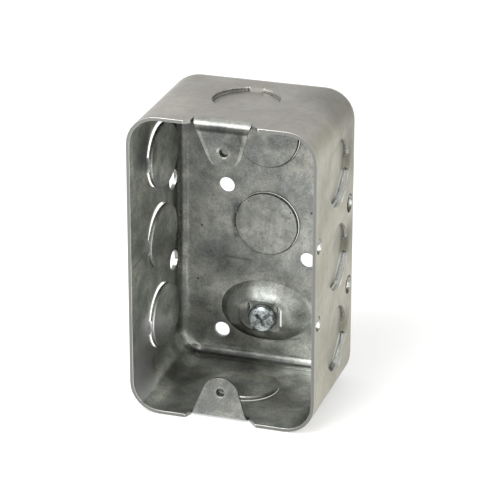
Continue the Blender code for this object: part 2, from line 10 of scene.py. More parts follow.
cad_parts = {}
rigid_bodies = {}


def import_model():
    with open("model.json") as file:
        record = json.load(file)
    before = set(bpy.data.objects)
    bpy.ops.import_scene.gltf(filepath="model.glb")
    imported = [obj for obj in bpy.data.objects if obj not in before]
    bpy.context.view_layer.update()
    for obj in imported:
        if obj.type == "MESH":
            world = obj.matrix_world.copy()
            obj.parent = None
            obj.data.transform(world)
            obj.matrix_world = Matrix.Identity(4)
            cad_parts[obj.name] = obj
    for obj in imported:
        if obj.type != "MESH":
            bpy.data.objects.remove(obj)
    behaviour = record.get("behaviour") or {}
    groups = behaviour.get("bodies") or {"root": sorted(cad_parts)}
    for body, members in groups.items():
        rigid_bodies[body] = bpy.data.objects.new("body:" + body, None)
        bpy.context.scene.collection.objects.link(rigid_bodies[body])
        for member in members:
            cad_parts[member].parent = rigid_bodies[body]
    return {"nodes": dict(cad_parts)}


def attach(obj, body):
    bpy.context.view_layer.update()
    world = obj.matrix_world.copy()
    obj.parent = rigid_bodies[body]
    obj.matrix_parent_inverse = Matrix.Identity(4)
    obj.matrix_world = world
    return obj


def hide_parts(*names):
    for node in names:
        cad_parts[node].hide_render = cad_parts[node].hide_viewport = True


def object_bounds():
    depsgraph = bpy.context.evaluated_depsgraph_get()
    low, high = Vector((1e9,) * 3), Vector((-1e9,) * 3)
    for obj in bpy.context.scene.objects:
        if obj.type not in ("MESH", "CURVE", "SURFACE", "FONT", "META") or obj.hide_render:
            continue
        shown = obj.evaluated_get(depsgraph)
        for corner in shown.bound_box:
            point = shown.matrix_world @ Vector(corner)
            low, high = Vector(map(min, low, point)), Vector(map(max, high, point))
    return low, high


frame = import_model()
cad_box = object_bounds()

# Sizes of the CAD part that the finish follows, in metres
WIDTH, DEPTH, LENGTH = cad_box[1] - cad_box[0]
SHEET = 0.0012
CORNER = 0.0102
BEND = 0.0050
FRONT = -DEPTH / 2
BACK = DEPTH / 2
INSIDE_BACK = BACK - SHEET
LEFT = -WIDTH / 2
RIGHT = WIDTH / 2
CROWN_HEIGHT = 0.0048

# Device ears: their length, the zone that holds them and their relief cuts, and their holes
EAR_LENGTH = 0.0151
EAR_ZONE_HEIGHT = 0.0162
EAR_ZONE_HALF_WIDTH = 0.0130
EAR_ZONE_DEPTH = 0.0055
EAR_Y = FRONT + 0.0017
EAR_FACE_Y = FRONT + 0.0015
EAR_HOLES = ((0.0005, EAR_Y, 0.0933), (-0.0008, EAR_Y, 0.0099))

# Cleaning of the CAD mesh: distance of doubled points, angle of flat areas and of sharp edges
DOUBLE_DISTANCE = 2e-6
FLAT_ANGLE = math.radians(0.5)
BOX_SHARP_ANGLE = math.radians(32)
SCREW_SHARP_ANGLE = math.radians(38)

# What tells a cut face: its largest area, the sharp share of its outline, how far it may face out or in
RIM_TOLERANCE = 1e-5
LARGEST_CUT_AREA = 0.000020
CUT_SHARP_SHARE = 0.25
CUT_FACING = 0.5

# What tells the outer skin, an ear's front, its fold and its rolled margin: how far a face turns that way
SKIN_FACING = 0.3
EAR_FACING = 0.93
FOLD_LEAN = 0.05
MARGIN_LEAN = 0.03

# Small round-over of the rim and of the ears' edges, and how bright each is painted, as wear and as a
# painted highlight on the rounded edge
RIM_ROUND = 0.00016
RIM_WEAR_HIGHLIGHT = 0.30
EAR_ROUND = 0.00028
EAR_WEAR_HIGHLIGHT = 0.80
ROUND_SEGMENTS = 3

# Ground screw
SCREW_X = 0.0010
SCREW_Z = 0.0197
SCREW_GAP = 0.0003
SCREW_SEAT_Y = BACK - CROWN_HEIGHT - SHEET - SCREW_GAP
SCREW_END_Y = BACK - 0.0015
SCREW_HEAD_RADIUS = 0.00475
SCREW_HEAD_HEIGHT = 0.0023
SCREW_HEAD_SIDE = 0.0012
SCREW_HEAD_FLAT = 0.62
SCREW_HEAD_CHAMFER = 0.00010
SCREW_SHANK_RADIUS = 0.00235
SCREW_PITCH = 0.00079
SCREW_THREAD_DEPTH = 0.00042
SCREW_THREAD_START = 0.0006
SCREW_TIP_LENGTH = 0.0007
SCREW_TURN = math.radians(38)
SCREW_SEGMENTS = 72
SCREW_HEAD_STEPS = 10
SCREW_THREAD_STEPS = 56

# Bars that cut the head's slot and the shorter arm of its cross: length, width, depth, turn
RECESS_BARS = (
    (0.0120, 0.0014, 0.0011, 0.0),
    (0.0048, 0.0014, 0.0016, math.pi / 2),
)
BAR_OVERSIZE = 0.0010
RECESS_REACH = 0.97
RECESS_SKIN = 0.0002

# Knockouts
KNOCKOUT_RADIUS = 0.0111
LEFT_ROWS = [LENGTH / 2 + row * 0.0287 for row in (-1, 0, 1)]
RIGHT_ROWS = [LENGTH / 2 + 0.0008 + row * 0.0290 for row in (-1, 0, 1)]
BACK_ROWS = [0.0521 + row * 0.0313 for row in (0, 1)]
LEFT_KNOCKOUT_Y = FRONT + 0.0270
RIGHT_KNOCKOUT_Y = FRONT + 0.0255
END_KNOCKOUT_Y = FRONT + 0.0257
BACK_KNOCKOUT_X = 0.0010
END_KNOCKOUT_X = 0.0003

# Middles of the knockouts on the outer skin, with the direction in which each was punched
KNOCKOUTS = (
    [((LEFT, LEFT_KNOCKOUT_Y, row_z), (1, 0, 0)) for row_z in LEFT_ROWS]
    + [((RIGHT, RIGHT_KNOCKOUT_Y, row_z), (-1, 0, 0)) for row_z in RIGHT_ROWS]
    + [((BACK_KNOCKOUT_X, BACK, row_z), (0, -1, 0)) for row_z in BACK_ROWS]
    + [((END_KNOCKOUT_X, END_KNOCKOUT_Y, LENGTH), (0, 0, -1))]
    + [((END_KNOCKOUT_X, END_KNOCKOUT_Y, 0.0), (0, 0, 1))]
)

# Marks that dress_box writes on the faces: outer skin, cut face, worn edge with painted highlight, rolled
# ear margin, ear
MARKS = ("outer", "bare", "worn_highlit", "margin", "ear")

# Painted light and shade: how much lighter or darker each area is painted, against the plain tone of the
# sheet, for how the room lights and mirrors it. The margin, collar and fold levels are painted highlights;
# the fold shade, crown and rim levels are painted shade; the right cut level is painted light and the left
# burnished level painted shade on the cut faces
BACK_LEFT_LEVEL = 0.78
BACK_RIGHT_LEVEL = 1.20
LEFT_WALL_LEVEL = 2.35
LEFT_FRONT_LEVEL = 1.20
LEFT_REAR_LEVEL = 0.76
BOTTOM_WALL_LEVEL = 1.30
CROWN_LEFT_LEVEL = 0.24
CROWN_RIGHT_LEVEL = 0.80
CROWN_TOP_LEVEL = 0.70
TOP_EAR_LEVEL = 0.55
BOTTOM_EAR_LEVEL = 0.78
MARGIN_LEVEL = 0.90
COLLAR_LEVEL = 1.35
FOLD_LEVEL = 1.70
FOLD_SHADE_LEVEL = 0.30
LEFT_RIM_LEVEL = 0.76
RIGHT_RIM_LEVEL = 0.72
RIGHT_CUT_LEVEL = 1.35
LEFT_BURNISHED_LEVEL = 0.55

# Soft edges of some of these areas: along the box, from the screw, from the end wall, from an ear's hole
MIDDLE_BAND = (0.4 * LENGTH, 0.6 * LENGTH)
CROWN_EDGE = (0.0090, 0.0110)
FOLD_EDGE = (0.0004, 0.0019)
FOLD_SHADE_EDGE = (0.0027, 0.0043)
COLLAR_EDGE = (0.0018, 0.0030)

# How strongly marks cover the sheet's tone, among them painted shade strokes and the painted shadow lines
# round the knockouts
DIRT_AND_SHADE_STRENGTH = 0.85
SCRATCH_AND_SHADE_STRENGTH = 0.45
SCRAPE_STRENGTH = 0.40
SHADOW_LINE_STRENGTH = 0.55
FAINT_SHADOW_SHARE = 0.15
OUTSIDE_DIRT_SHARE = 0.25

# Painted shade and highlight bands along the rear bends, standing in for what the bends mirror: where each
# begins and ends in bend radii from the wall, and its levels
SIDE_DIP_START = (0.32, 0.56)
SIDE_DIP_END = (0.74, 1.00)
SIDE_START_LEVEL = 0.75
SIDE_DIP_LEVEL = 0.36
SIDE_DIP_LOW_LEVEL = 0.90
END_DIP_MIDDLE = 0.48
END_DIP_EDGE = (0.04, 0.20)
END_BAND_END = (0.76, 0.96)
END_CORNER_LEVEL = 0.60
END_DIP_LEVEL = 0.14
END_LEFT_LEVEL = 0.42
END_RIGHT_LEVEL = 0.56

# Painted reflections and shade: soft lighter and darker patches painted where each wall mirrors the room:
# two places in it, radius, level
BACK_PAINTED_LIGHT = (
    (-0.0100, 0.0370, 0.011, 0.75),
    (-0.0170, 0.0370, 0.009, 0.70),
    (0.0060, 0.0385, 0.008, 1.25),
    (0.0130, 0.0800, 0.014, 0.76),
    (-0.0200, 0.0860, 0.015, 0.75),
    (-0.0180, 0.0150, 0.011, 0.66),
    (0.0010, 0.0350, 0.008, 0.80),
    (0.0030, 0.0640, 0.005, 0.75),
    (-0.0085, 0.0080, 0.010, 0.40),
)
BOTTOM_PAINTED_LIGHT = (
    (0.0150, 0.0130, 0.007, 0.62),
    (-0.0230, 0.0040, 0.012, 0.40),
    (-0.0020, 0.0160, 0.009, 0.60),
    (-0.0180, 0.0160, 0.008, 0.95),
    (-0.0040, 0.0050, 0.007, 1.75),
    (0.0060, 0.0000, 0.009, 1.45),
    (0.0120, 0.0190, 0.009, 1.15),
    (0.0180, 0.0000, 0.015, 0.62),
)
LEFT_PAINTED_LIGHT = (
    (-0.0110, 0.0860, 0.011, 0.52),
    (0.0060, 0.0950, 0.012, 1.50),
    (-0.0190, 0.0120, 0.016, 1.90),
    (0.0050, 0.0180, 0.026, 1.45),
    (-0.0180, 0.0320, 0.026, 1.10),
    (-0.0080, 0.0200, 0.012, 1.50),
)
RIGHT_PAINTED_LIGHT = (
    (0.0120, 0.1000, 0.020, 0.62),
    (0.0180, 0.0880, 0.014, 0.80),
    (0.0160, 0.0740, 0.010, 0.72),
    (0.0160, 0.0530, 0.010, 0.75),
    (0.0050, 0.0590, 0.008, 0.75),
    (-0.0150, 0.0820, 0.020, 0.86),
    (-0.0150, 0.0080, 0.016, 1.18),
)

# Painted highlights and shade the same way on the boss, in the corners and on the top ear: middle, radius,
# level
BOSS_PAINTED_LIGHT = (
    ((-0.0020, 0.0185, 0.0120), 0.005, 1.80),
    ((0.0030, 0.0190, 0.0120), 0.007, 1.35),
    ((0.0130, 0.0195, 0.0205), 0.008, 2.40),
    ((0.0110, 0.0205, 0.0105), 0.008, 1.50),
    ((0.0005, 0.0200, 0.0290), 0.007, 1.35),
    ((0.0100, 0.0195, 0.0260), 0.005, 1.45),
    ((-0.0100, 0.0200, 0.0200), 0.009, 1.55),
    ((SCREW_X + 0.0015, 0.0178, 0.0250), 0.004, 0.72),
    ((SCREW_X - 0.0050, 0.0175, SCREW_Z + 0.0034), 0.0018, 2.00),
    ((SCREW_X + 0.0050, 0.0175, SCREW_Z + 0.0034), 0.0018, 3.00),
)
CORNER_PAINTED_LIGHT = (
    ((0.0200, 0.0225, 0.0045), 0.011, 1.70),
    ((-0.0290, 0.0205, 0.0050), 0.006, 2.20),
    ((-0.0270, -0.0160, 0.0030), 0.011, 2.00),
)
# Painted shade on the top ear, and painted light on the left part of the top
EAR_PAINTED_SHADE = ((0.0050, EAR_Y, 0.0965), 0.005, 0.62)
TOP_PAINTED_LIGHT = ((-0.0250, -0.0120, LENGTH), 0.018, 1.22)

INNER_PAINTED_LIGHT = (
    [((x, BACK, z), radius, level) for x, z, radius, level in BACK_PAINTED_LIGHT]
    + [((x, y, SHEET), radius, level) for x, y, radius, level in BOTTOM_PAINTED_LIGHT]
    + [((LEFT, y, z), radius, level) for y, z, radius, level in LEFT_PAINTED_LIGHT]
    + [*BOSS_PAINTED_LIGHT, *CORNER_PAINTED_LIGHT, EAR_PAINTED_SHADE]
)
OUTER_PAINTED_LIGHT = (
    [((RIGHT, y, z), radius, level) for y, z, radius, level in RIGHT_PAINTED_LIGHT]
    # painted shade at the rear tie of each knockout in the right side
    + [((RIGHT, 0.0118, row_z + 0.0020), 0.0065, 0.62) for row_z in RIGHT_ROWS]
    + [TOP_PAINTED_LIGHT]
)

# Painted highlights: light streaks painted on the rolled-over lower rear edges of the knockouts in the
# right side, where these edges catch the light
PAINTED_EDGE_HIGHLIGHTS = [
    ((RIGHT - SHEET, 0.0108, row_z - 0.0040), (RIGHT - SHEET, 0.0055, row_z - 0.0098), 0.0026)
    for row_z in RIGHT_ROWS
]

# Dark round specks on the inside of the back
SPECKS = (
    (-0.0221, BACK, 0.0485), (-0.0281, BACK, 0.0439), (-0.0236, BACK, 0.0288),
    (-0.0278, BACK, 0.0792), (0.0163, BACK, 0.0576), (0.0030, BACK, 0.0745),
)
SPECK_EDGE = (SHEET + 0.00002, SHEET + 0.00010)

# Scratches inside the box, and among the dark ones painted shade strokes: first point, last point, width
DARK_SCRATCHES_AND_SHADE = (
    ((-0.0300, -0.0110, 0.0509), (-0.0302, -0.0234, 0.0499), 0.0004),
    ((-0.0290, 0.0180, 0.0014), (-0.0288, 0.0040, 0.0014), 0.0005),
    ((-0.0136, INSIDE_BACK, 0.0383), (-0.0054, INSIDE_BACK, 0.0380), 0.0006),
    # painted shade along the left edge of the lower knockout in the back
    ((-0.0094, INSIDE_BACK, 0.0565), (-0.0096, INSIDE_BACK, 0.0475), 0.0026),
    ((0.0043, INSIDE_BACK, 0.0093), (0.0128, INSIDE_BACK, 0.0113), 0.0006),
    ((0.0196, -0.0113, SHEET), (0.0233, -0.0109, SHEET), 0.0004),
    # painted shade in a crease at the top ear's upper right
    ((0.0054, EAR_FACE_Y, 0.1003), (0.0067, EAR_FACE_Y, 0.0962), 0.0009),
    ((0.0086, EAR_FACE_Y, 0.1000), (0.0048, EAR_FACE_Y, 0.1003), 0.0007),
)
LIGHT_SCRATCHES = (
    ((0.0004, EAR_FACE_Y, 0.0915), (0.0010, EAR_FACE_Y, 0.0917), 0.0006),
    ((-0.0013, EAR_FACE_Y, 0.0943), (-0.0016, EAR_FACE_Y, 0.0935), 0.0005),
    ((-0.0014, EAR_FACE_Y, 0.0083), (-0.0002, EAR_FACE_Y, 0.0084), 0.0005),
    ((-0.0293, -0.0058, 0.0014), (-0.0285, -0.0174, 0.0014), 0.0006),
    ((0.0078, INSIDE_BACK, 0.0164), (0.0155, INSIDE_BACK, 0.0179), 0.0012),
)

# Tones of the sheet inside the box, painted darker than the outside tones for the shade within the box
INSIDE_COOL = (0.255, 0.263, 0.252, 1)
INSIDE_WARM = (0.325, 0.323, 0.292, 1)
INSIDE_SPANGLE = (0.185, 0.20, 0.188, 1)
INSIDE_DARK_GRAIN = (0.13, 0.14, 0.13, 1)
INSIDE_LIGHT_GRAIN = (0.43, 0.44, 0.40, 1)
INSIDE_STREAK = (0.19, 0.20, 0.19, 1)

# Tones of the sheet outside, where the sides are yellower than the ends and the back
OUTSIDE_DARK = (0.40, 0.385, 0.352, 1)
OUTSIDE_LIGHT = (0.455, 0.44, 0.405, 1)
SIDE_DARK = (0.355, 0.345, 0.265, 1)
SIDE_LIGHT = (0.405, 0.390, 0.315, 1)
DARK_SCUFF = (0.30, 0.29, 0.265, 1)
LIGHT_SCUFF = (0.56, 0.545, 0.50, 1)
OUTSIDE_SPANGLE = (0.30, 0.29, 0.26, 1)
OUTSIDE_GRAIN = (0.22, 0.22, 0.20, 1)

# Tones of marks, cut faces and worn edges. The dark mark tone serves dirt and painted shade, the rolled
# edge tone painted highlights, and the worn edge tone wear with a painted highlight
DIRT_AND_SHADE = (0.045, 0.048, 0.045, 1)
SCRAPED = (0.75, 0.76, 0.73, 1)
TORN_DARK = (0.17, 0.175, 0.165, 1)
TORN_LIGHT = (0.36, 0.36, 0.34, 1)
BURNISHED_DARK = (0.62, 0.62, 0.60, 1)
BURNISHED_LIGHT = (0.88, 0.88, 0.86, 1)
EDGE_HIGHLIGHT_TONE = (0.82, 0.83, 0.81, 1)
RIM = (0.27, 0.27, 0.256)
WORN_EDGE_HIGHLIGHT = (0.84, 0.84, 0.82)

# Tones of the screw's zinc plate, with painted shade in the recess and on the head's left side
PLATE_DARK = (0.27, 0.31, 0.315, 1)
PLATE_LIGHT = (0.60, 0.64, 0.65, 1)
PLATE_PIT = (0.17, 0.195, 0.20, 1)
PLATE_SCUFF = (0.70, 0.73, 0.73, 1)
PLATE_RECESS_SHADE = (0.09, 0.10, 0.103, 1)
PLATE_LEFT_SHADE_LEVEL = 0.48

# Camera fitted to the photograph
CAMERA_YAW = math.radians(17.57)
CAMERA_PITCH = math.radians(22.93)
CAMERA_ROLL = math.radians(0.13)
CAMERA_AIM = Vector((0.00216, 0.0, 0.05169))
CAMERA_DISTANCE = 0.81547
CAMERA_LENS = 180.22
CAMERA_SENSOR = 36.0

# Studio: the white floor just under the box, and two softboxes in front of it
FLOOR_GAP = 0.0002
FLOOR_HALF_SIZE = 4.0
FLOOR_TONE = (0.64, 0.64, 0.64, 1)
FLOOR_GLOW = 0.45
LIGHT_AIM = (0.0, 0.0, 0.05)
ROOM_TONE = (0.80, 0.80, 0.79, 1)
WHITE = (1, 1, 1, 1)


class Nodes:
    """Short hand for building a node tree: every call adds a node and returns its output socket."""

    def __init__(self, tree):
        self.tree = tree

    def add(self, kind, **settings):
        node = self.tree.nodes.new(kind)
        for name, value in settings.items():
            setattr(node, name, value)
        return node

    def feed(self, socket, value):
        if isinstance(value, bpy.types.NodeSocket):
            self.tree.links.new(value, socket)
        elif value is not None:
            socket.default_value = value

    def attribute(self, name):
        return self.add("ShaderNodeAttribute", attribute_name=name).outputs["Fac"]

    def split(self, vector):
        """The three parts of a vector."""
        node = self.add("ShaderNodeSeparateXYZ")
        self.feed(node.inputs[0], vector)
        return node.outputs

    def math(self, operation, a, b=None, clamp=False):
        node = self.add("ShaderNodeMath", operation=operation, use_clamp=clamp)
        self.feed(node.inputs[0], a)
        self.feed(node.inputs[1], b)
        return node.outputs[0]

    def joined(self, operation, values):
        """All the values, joined one after another by the operation."""
        total, *rest = values
        for value in rest:
            total = self.math(operation, total, value)
        return total

    def vector(self, operation, a, b=None):
        node = self.add("ShaderNodeVectorMath", operation=operation)
        self.feed(node.inputs[0], a)
        self.feed(node.inputs["Scale" if operation == "SCALE" else 1], b)
        return node.outputs["Value" if operation in ("DOT_PRODUCT", "LENGTH") else "Vector"]

    def scaled(self, colour, level):
        """The colour made lighter or darker by a factor."""
        return self.vector("SCALE", colour, level)

    def distance(self, place, middle):
        return self.vector("LENGTH", self.vector("SUBTRACT", place, middle))

    def ramp(self, value, low, high, to_low=0.0, to_high=1.0):
        node = self.add("ShaderNodeMapRange", interpolation_type="SMOOTHSTEP", clamp=True)
        for name, item in (
            ("Value", value), ("From Min", low), ("From Max", high), ("To Min", to_low), ("To Max", to_high)
        ):
            self.feed(node.inputs[name], item)
        return node.outputs[0]

    def blend(self, share, low, high):
        """A number that goes from low to high as the share goes from 0 to 1."""
        return self.ramp(share, 0.0, 1.0, low, high)

    def mix(self, share, a, b):
        node = self.add("ShaderNodeMix", data_type="RGBA")
        self.feed(node.inputs[0], share)
        self.feed(node.inputs[6], a)
        self.feed(node.inputs[7], b)
        return node.outputs[2]

    def stretched(self, vector, scale):
        node = self.add("ShaderNodeMapping", vector_type="POINT")
        self.feed(node.inputs["Vector"], vector)
        self.feed(node.inputs["Scale"], scale)
        return node.outputs[0]

    def noise(self, vector, scale, detail, roughness, distortion=0.0):
        node = self.add("ShaderNodeTexNoise", noise_dimensions="3D")
        for name, item in (
            ("Vector", vector), ("Scale", scale), ("Detail", detail), ("Roughness", roughness),
            ("Distortion", distortion),
        ):
            self.feed(node.inputs[name], item)
        return node.outputs["Fac"]

    def specks(self, vector, scale, radius, share):
        """Small round dots: one in some of the cells of a Voronoi pattern."""
        node = self.add("ShaderNodeTexVoronoi", feature="F1")
        self.feed(node.inputs["Vector"], vector)
        self.feed(node.inputs["Scale"], scale)
        dot = self.ramp(node.outputs["Distance"], radius * 0.5, radius, 1.0, 0.0)
        split = self.add("ShaderNodeSeparateColor")
        self.feed(split.inputs[0], node.outputs["Color"])
        chosen = self.math("GREATER_THAN", split.outputs[0], 1.0 - share)
        return self.math("MULTIPLY", dot, chosen)

    def bump(self, height, strength, distance, normal=None):
        node = self.add("ShaderNodeBump")
        self.feed(node.inputs["Height"], height)
        self.feed(node.inputs["Strength"], strength)
        self.feed(node.inputs["Distance"], distance)
        self.feed(node.inputs["Normal"], normal)
        return node.outputs[0]


def new_material(name):
    material = bpy.data.materials.new(name)
    material.use_nodes = True
    nodes = Nodes(material.node_tree)
    shader = material.node_tree.nodes["Principled BSDF"]
    place = nodes.add("ShaderNodeTexCoord").outputs["Object"]
    return material, nodes, shader, place


def strokes(nodes, place, lines):
    """Scratches, painted shade and painted highlights: each is a thin straight mark between two points of
    the part.
    """
    marks = []
    for start, end, width in lines:
        along = Vector(end) - Vector(start)
        from_start = nodes.vector("SUBTRACT", place, Vector(start))
        reach = nodes.vector("DOT_PRODUCT", from_start, along)
        share = nodes.math("MULTIPLY", reach, 1 / along.length_squared, clamp=True)
        foot = nodes.vector("SCALE", along, share)
        marks.append(nodes.ramp(nodes.distance(from_start, foot), 0.3 * width, width, 1.0, 0.0))
    return nodes.joined("MAXIMUM", marks)


def knockout_shadow_line(nodes, place, middle, inward):
    """The painted shadow line round a knockout, where its gap lies in shade. In the top and the right side
    it is faint, and only at the rear.
    """
    offset = nodes.vector("SUBTRACT", place, middle)
    depth = nodes.math("ABSOLUTE", nodes.vector("DOT_PRODUCT", offset, inward))
    across = nodes.vector("MULTIPLY", offset, tuple(1 - abs(item) for item in inward))
    away = nodes.math("ABSOLUTE", nodes.math("SUBTRACT", nodes.vector("LENGTH", across), KNOCKOUT_RADIUS))
    line = nodes.ramp(away, 0.08 * SHEET, 0.38 * SHEET, 1.0, 0.0)
    line = nodes.math("MULTIPLY", line, nodes.ramp(depth, 3 * SHEET, 4 * SHEET, 1.0, 0.0))
    if inward[1] == 0:
        behind = nodes.vector("DOT_PRODUCT", offset, (0, 1, 0))
        share = nodes.ramp(behind, 0.0, 0.7 * KNOCKOUT_RADIUS, 0.0, FAINT_SHADOW_SHARE)
        line = nodes.math("MULTIPLY", line, share)
    return line


def knockout_shadow_lines(nodes, place):
    """The painted shadow lines of all knockouts but those of the left side and the bottom, whose gaps stand
    open.
    """
    shown = [(middle, inward) for middle, inward in KNOCKOUTS if max(inward) <= 0]
    return nodes.joined("MAXIMUM", [knockout_shadow_line(nodes, place, *knockout) for knockout in shown])


def speck_marks(nodes, place):
    marks = [nodes.ramp(nodes.distance(place, middle), *SPECK_EDGE, 1.0, 0.0) for middle in SPECKS]
    return nodes.joined("MAXIMUM", marks)


# Painted light and shade: each patch scales the tone by its level, fading out at its radius
def painted_light_levels(nodes, place, patches):
    levels = [
        nodes.ramp(nodes.distance(place, middle), 0.3 * radius, radius, level, 1.0)
        for middle, radius, level in patches
    ]
    return nodes.joined("MULTIPLY", levels)


def wall_painted_light(nodes, x, y, z):
    """Painted light and shade on the back, the left wall and the bottom wall inside: how much lighter or
    darker each is painted.
    """
    back = nodes.ramp(x, 0.0, 0.35 * WIDTH, BACK_LEFT_LEVEL, BACK_RIGHT_LEVEL)
    back = nodes.blend(nodes.ramp(y, BACK - 3.0 * SHEET, BACK - 1.6 * SHEET), 1.0, back)
    at_front = nodes.ramp(y, FRONT + 0.002, FRONT + 0.010, LEFT_FRONT_LEVEL, 1.0)
    at_rear = nodes.ramp(y, 0.2 * BACK, 0.6 * BACK, 1.0, LEFT_REAR_LEVEL)
    left = nodes.joined("MULTIPLY", [at_front, at_rear, LEFT_WALL_LEVEL])
    left = nodes.blend(nodes.ramp(x, LEFT + 2.6 * SHEET, LEFT + 4.2 * SHEET), left, 1.0)
    bottom = nodes.ramp(z, 1.5 * SHEET, 3.5 * SHEET, BOTTOM_WALL_LEVEL, 1.0)
    return nodes.joined("MULTIPLY", [back, left, bottom])


def side_bend_painted_shade(nodes, from_side, z):
    """Painted shade in the left and right rear bends: a dark band, fainter near the bottom, then the wall's
    own tone.
    """
    bends = nodes.math("DIVIDE", from_side, BEND)
    dip = nodes.ramp(z, 0.2 * LENGTH, 0.5 * LENGTH, SIDE_DIP_LOW_LEVEL, SIDE_DIP_LEVEL)
    level = nodes.ramp(bends, *SIDE_DIP_START, SIDE_START_LEVEL, dip)
    return nodes.blend(nodes.ramp(bends, *SIDE_DIP_END), level, 1.0)


def end_bend_painted_light(nodes, from_side, from_end, x):
    """Painted highlight and shade in the top and bottom rear bends: a thin dark line in a brighter band,
    fainter at the corners.
    """
    bends = nodes.math("DIVIDE", from_end, BEND)
    dip = nodes.ramp(from_side, 0.4 * CORNER, 0.9 * CORNER, END_CORNER_LEVEL, END_DIP_LEVEL)
    band = nodes.ramp(x, -0.35 * WIDTH, 0.20 * WIDTH, END_LEFT_LEVEL, END_RIGHT_LEVEL)
    from_dip = nodes.math("ABSOLUTE", nodes.math("SUBTRACT", bends, END_DIP_MIDDLE))
    level = nodes.blend(nodes.ramp(from_dip, *END_DIP_EDGE), dip, band)
    return nodes.blend(nodes.ramp(bends, *END_BAND_END), level, 1.0)


def crown_painted_shade(nodes, place, x, y, z):
    """Painted shade on the boss's crown round the screw: darkest at its left."""
    from_screw = nodes.distance(place, (SCREW_X, SCREW_SEAT_Y, SCREW_Z))
    near_screw = nodes.ramp(from_screw, *CROWN_EDGE, 1.0, 0.0)
    on_crown = nodes.ramp(y, SCREW_SEAT_Y + 0.4 * SHEET, SCREW_SEAT_Y + SHEET, 1.0, 0.0)
    level = nodes.ramp(x, SCREW_X - 0.003, SCREW_X + 0.003, CROWN_LEFT_LEVEL, CROWN_RIGHT_LEVEL)
    level = nodes.ramp(z, SCREW_Z + 0.001, SCREW_Z + 0.005, level, CROWN_TOP_LEVEL)
    return nodes.blend(nodes.math("MULTIPLY", near_screw, on_crown), 1.0, level)


def ear_painted_light(nodes, place, margin, from_end, z):
    """Painted light and shade on the ears: darker plain, painted highlights on the margin, round the hole
    and on the fold, painted shade under the fold.
    """
    level = nodes.ramp(z, *MIDDLE_BAND, BOTTOM_EAR_LEVEL, TOP_EAR_LEVEL)
    level = nodes.blend(margin, level, MARGIN_LEVEL)
    shade = nodes.ramp(from_end, *FOLD_SHADE_EDGE, 1.0, 0.0)
    shade = nodes.math("MULTIPLY", shade, nodes.ramp(z, 0.0, LENGTH))
    level = nodes.math("MULTIPLY", level, nodes.blend(shade, 1.0, FOLD_SHADE_LEVEL))
    for middle in EAR_HOLES:
        collar = nodes.ramp(nodes.distance(place, middle), *COLLAR_EDGE, COLLAR_LEVEL, 1.0)
        level = nodes.math("MULTIPLY", level, collar)
    fold = nodes.ramp(z, *MIDDLE_BAND, 1.0, FOLD_LEVEL)
    return nodes.ramp(from_end, *FOLD_EDGE, fold, level)


def sheet_noises(nodes, place):
    """The noises that the sheet's tones, roughness and bumps share, from broad waves to fine grain."""
    return SimpleNamespace(
        waves=nodes.noise(place, 48.0, 2.0, 0.4),
        clouds=nodes.noise(place, 85.0, 3.0, 0.55),
        blotches=nodes.noise(place, 170.0, 2.0, 0.5, 0.4),
        mottle=nodes.noise(place, 420.0, 5.0, 0.70),
        shear=nodes.noise(place, 1500.0, 2.0, 0.5),
        grain=nodes.noise(place, 1700.0, 3.0, 0.62),
        streaks=nodes.noise(nodes.stretched(place, (900.0, 70.0, 900.0)), 1.0, 3.0, 0.6),
        scuffs=nodes.noise(nodes.stretched(place, (110.0, 1300.0, 110.0)), 1.0, 4.0, 0.65),
    )


def inside_tone(nodes, noises, level):
    """Mottled grey zinc with spangles, grain and drawing streaks, in tones painted darker than the outside
    for the shade inside the box, and scaled by the painted light and shade levels.
    """
    tone = nodes.mix(nodes.ramp(noises.clouds, 0.36, 0.64), INSIDE_COOL, INSIDE_WARM)
    tone = nodes.mix(nodes.ramp(noises.mottle, 0.42, 0.62, 0.0, 0.6), tone, INSIDE_SPANGLE)
    tone = nodes.mix(nodes.ramp(noises.grain, 0.48, 0.70, 0.0, 0.5), tone, INSIDE_DARK_GRAIN)
    tone = nodes.mix(nodes.ramp(noises.grain, 0.30, 0.46, 0.4, 0.0), tone, INSIDE_LIGHT_GRAIN)
    tone = nodes.mix(nodes.ramp(noises.streaks, 0.55, 0.85, 0.0, 0.25), tone, INSIDE_STREAK)
    blotches = nodes.ramp(noises.blotches, 0.32, 0.68, 0.87, 1.14)
    return nodes.scaled(tone, nodes.math("MULTIPLY", level, blotches))


def outside_tone(nodes, noises, from_side):
    """Cleaner zinc with scuffs that run along the draw, yellower on the two sides."""
    plain = nodes.mix(nodes.ramp(noises.clouds, 0.30, 0.70), OUTSIDE_DARK, OUTSIDE_LIGHT)
    yellow = nodes.mix(nodes.ramp(noises.clouds, 0.35, 0.65), SIDE_DARK, SIDE_LIGHT)
    tone = nodes.mix(nodes.ramp(from_side, 0.3 * SHEET, 4 * SHEET, 1.0, 0.0), plain, yellow)
    tone = nodes.mix(nodes.ramp(noises.scuffs, 0.50, 0.72, 0.0, 0.30), tone, DARK_SCUFF)
    tone = nodes.mix(nodes.ramp(noises.scuffs, 0.26, 0.42, 0.25, 0.0), tone, LIGHT_SCUFF)
    tone = nodes.mix(nodes.ramp(noises.mottle, 0.40, 0.75, 0.0, 0.30), tone, OUTSIDE_SPANGLE)
    return nodes.mix(nodes.ramp(noises.grain, 0.50, 0.75, 0.0, 0.12), tone, OUTSIDE_GRAIN)


